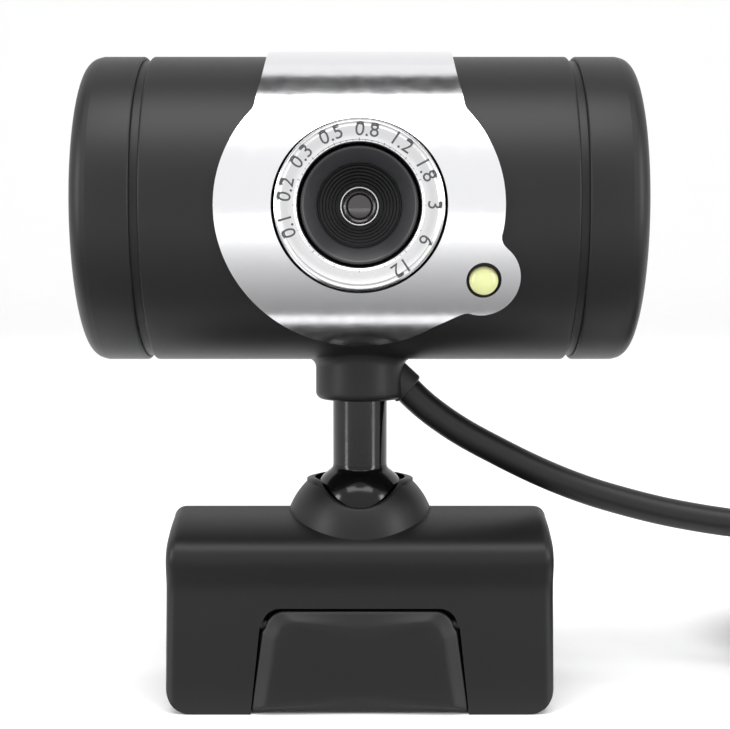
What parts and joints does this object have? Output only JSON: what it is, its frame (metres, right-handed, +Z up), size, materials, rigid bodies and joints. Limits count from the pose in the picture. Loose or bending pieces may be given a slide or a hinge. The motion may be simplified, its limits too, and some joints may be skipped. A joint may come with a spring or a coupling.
{
  "type": "webcam on clip stand",
  "caption": "Barrel-shaped webcam with a focus ring and status lamp, on a swivel stem and ball joint over a wide clip base, with its cord and plug.",
  "frame": {"origin": "on the desk under the middle of the webcam, cord left out", "axes": "+Z up from the desk, -Y the way the lens looks, +X to the viewer's right"},
  "size_m": [0.1527, 0.0602, 0.0755],
  "materials": {
    "matte_black": "fine matte moulded ABS",
    "gloss_black": "polished black",
    "bright_plate": "bright plated, satin",
    "machined_ring": "turned, with a printed focus scale",
    "lens_black": "dark moulded",
    "glass": "coated",
    "lamp": "clear pale yellow lens",
    "board_green": "circuit board",
    "chip": "moulded package",
    "steel": "zinc plated",
    "rubber": "satin PVC and rubber",
    "white_nylon": "natural nylon"
  },
  "bodies": {
    "base": {"base_shell": "matte_black", "base_bottom_cover": "matte_black", "foot_strip_left": "rubber", "foot_strip_right": "rubber", "socket_dome": "matte_black", "socket_cup": "lens_black", "socket_screw_left": "steel", "socket_screw_right": "steel", "hinge_pin": "steel", "clip_spring": "steel", "cord_lead": "rubber", "cord_coil": "rubber", "cord_tie": "rubber", "cord_tail": "rubber", "plug_strain_relief": "rubber", "plug_body": "matte_black", "plug_shell": "steel", "plug_contacts": "white_nylon"},
    "flap": {"clip_flap": "matte_black", "flap_pad": "rubber"},
    "liner": {"ball_liner": "white_nylon"},
    "stem": {"ball_stem": "gloss_black", "swivel_screw": "steel", "swivel_washer": "steel"},
    "head": {"barrel_front_shell": "matte_black", "barrel_rear_shell": "matte_black", "end_cap_left": "matte_black", "end_cap_right": "matte_black", "face_plate": "bright_plate", "main_board": "board_green", "image_sensor": "chip", "lens_holder": "lens_black", "ir_filter": "glass", "usb_controller": "chip", "crystal": "steel", "cable_connector": "white_nylon", "status_led": "lamp", "led_collar": "lens_black", "shell_screw_left": "steel", "shell_screw_right": "steel", "board_screw_left": "steel", "board_screw_right": "steel", "neck_hub": "matte_black", "cord_grommet": "rubber"},
    "ring": {"focus_ring": "machined_ring"},
    "lens": {"lens_bezel": "lens_black", "lens_barrel": "lens_black", "front_glass": "glass", "rear_glass": "glass"}
  },
  "joints": [
    {"name": "tilt", "type": "hinge", "parent": "base", "child": "liner", "pos_m": [0, 0.0006, 0.0216], "axis": [1, 0, 0], "range_deg": [-12, 18]},
    {"name": "lean", "type": "hinge", "parent": "liner", "child": "stem", "pos_m": [0, 0.0006, 0.0216], "axis": [0, 1, 0], "range_deg": [-12, 4], "deforming": ["cord_lead"]},
    {"name": "pan", "type": "hinge", "parent": "stem", "child": "head", "pos_m": [0, 0.0006, 0.035], "axis": [0, 0, 1], "range_deg": [-90, 90]},
    {"name": "focus_turn", "type": "hinge", "parent": "head", "child": "ring", "pos_m": [0, 0.0006, 0.0573], "axis": [0, -1, 0], "range_deg": [-150, 150]},
    {"name": "lens_travel", "type": "slide", "parent": "head", "child": "lens", "axis": [0, -1, 0], "range_m": [-0.00021, 0.00021]},
    {"name": "flap_swing", "type": "hinge", "parent": "base", "child": "flap", "pos_m": [0, -0.0082, 0.0099], "axis": [-1, 0, 0], "range_deg": [0, 30], "stiffness_Nm_per_rad": 0.01, "springref_deg": -28.65}
  ],
  "couplings": [
    {"joint": "lens_travel", "follows": "focus_turn", "m_per_rad": 0.000079577}
  ]
}
